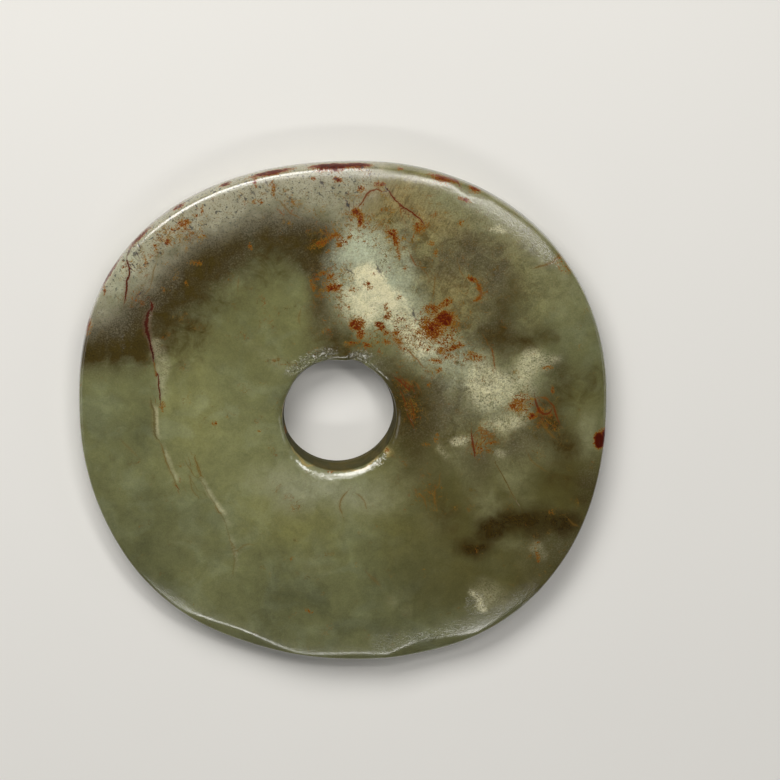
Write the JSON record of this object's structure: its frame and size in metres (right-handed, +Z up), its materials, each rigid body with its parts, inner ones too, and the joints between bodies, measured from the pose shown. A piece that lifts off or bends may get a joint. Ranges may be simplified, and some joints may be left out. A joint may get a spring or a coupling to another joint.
{
  "type": "jade bi disc",
  "caption": "Flat ring of polished nephrite with a rounded-square outline, softly ground edges and a central hole drilled from both faces, lying on its flat back face.",
  "frame": {"origin": "on the plane of the flat back face, below the middle of the disc's bounding box", "axes": "+Z up out of the front face, +X along the disc's longest width, +Y towards the side of the outline that is uppermost in the picture"},
  "size_m": [0.13, 0.126, 0.01],
  "materials": {
    "nephrite": "waxy polish, pale celadon to olive with grey, brown, cream and rust areas"
  },
  "bodies": {
    "root": {"bi_disc": "nephrite"}
  },
  "joints": []
}
